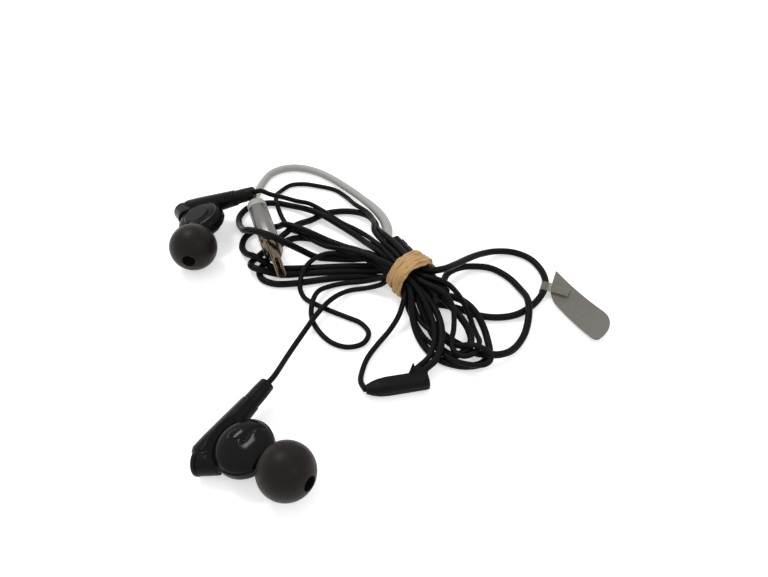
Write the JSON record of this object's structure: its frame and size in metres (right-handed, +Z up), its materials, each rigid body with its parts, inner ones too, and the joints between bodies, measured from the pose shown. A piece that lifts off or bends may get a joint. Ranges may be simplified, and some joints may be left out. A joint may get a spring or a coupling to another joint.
{
  "type": "wired earphones",
  "caption": "Wired in-ear earphones with soft ball eartips, an in-line control, a Y-splitter and a USB-C plug, the cord bundled in loops by a rubber band with a care tag.",
  "frame": {"origin": "on the table under the middle of the two earbuds' common box", "axes": "+Z up from the table, +Y from the left earbud (nearer) to the right earbud (farther), +X towards the bundled cord"},
  "size_m": [0.118, 0.1149, 0.0134],
  "materials": {
    "earbud_shell": "smooth glossy black",
    "earbud_cap": "polished black with a slight blue sheen",
    "filter_mesh": "fine woven mesh",
    "silicone": "satin translucent-looking dark silicone",
    "driver_plastic": "plain moulded",
    "magnet_steel": "ground",
    "diaphragm_film": "thin film",
    "plug_metal": "fine blasted satin",
    "collar_metal": "satin",
    "tip_steel": "bright drawn steel",
    "contact_metal": "gold plated",
    "circuit_board": "solder mask",
    "control_plastic": "satin black",
    "button_plastic": "satin black",
    "microphone_grille": "fine grille",
    "lead_rubber": "satin light grey",
    "cord_rubber": "satin black",
    "band_rubber": "matte tan",
    "tag_film": "matte grey film",
    "clear_tape": "clear glossy tape"
  },
  "bodies": {
    "earphones": {"left_housing": "earbud_shell", "left_cap": "earbud_cap", "left_nozzle": "earbud_shell", "left_mesh": "filter_mesh", "left_driver_frame": "driver_plastic", "left_magnet": "magnet_steel", "left_diaphragm": "diaphragm_film", "left_barrel_cap": "earbud_cap", "left_sleeve": "cord_rubber", "right_housing": "earbud_shell", "right_cap": "earbud_cap", "right_nozzle": "earbud_shell", "right_mesh": "filter_mesh", "right_driver_frame": "driver_plastic", "right_magnet": "magnet_steel", "right_diaphragm": "diaphragm_film", "right_barrel_cap": "earbud_cap", "right_sleeve": "cord_rubber", "plug_housing": "plug_metal", "plug_tip": "tip_steel", "plug_liner": "driver_plastic", "plug_contacts": "contact_metal", "plug_collar": "collar_metal", "plug_board": "circuit_board", "control_base": "control_plastic", "control_cover": "control_plastic", "control_board": "circuit_board", "control_microphone": "microphone_grille", "control_relief": "lead_rubber", "splitter_base": "control_plastic", "splitter_cover": "control_plastic", "splitter_crimp": "contact_metal", "rubber_band": "band_rubber", "tag": "tag_film", "tag_tape": "clear_tape", "lead": "lead_rubber", "main_cord": "cord_rubber", "left_cord": "cord_rubber", "right_cord": "cord_rubber"},
    "left_eartip": {"left_eartip": "silicone"},
    "right_eartip": {"right_eartip": "silicone"},
    "button_up": {"button_up": "button_plastic"},
    "button_middle": {"button_middle": "button_plastic"},
    "button_down": {"button_down": "button_plastic"}
  },
  "joints": [
    {"name": "left_eartip_slide", "type": "slide", "parent": "earphones", "child": "left_eartip", "axis": [0.8352, -0.5321, 0.1392], "range_m": [0, 0.0065]},
    {"name": "right_eartip_slide", "type": "slide", "parent": "earphones", "child": "right_eartip", "axis": [0, -0.9954, 0.0958], "range_m": [0, 0.0065]},
    {"name": "button_up_press", "type": "slide", "parent": "earphones", "child": "button_up", "axis": [-0.8434, -0.5373, 0], "range_m": [0, 0.0003], "stiffness_N_per_m": 2000},
    {"name": "button_middle_press", "type": "slide", "parent": "earphones", "child": "button_middle", "axis": [-0.8434, -0.5373, 0], "range_m": [0, 0.0003], "stiffness_N_per_m": 2000},
    {"name": "button_down_press", "type": "slide", "parent": "earphones", "child": "button_down", "axis": [-0.8434, -0.5373, 0], "range_m": [0, 0.0003], "stiffness_N_per_m": 2000}
  ]
}
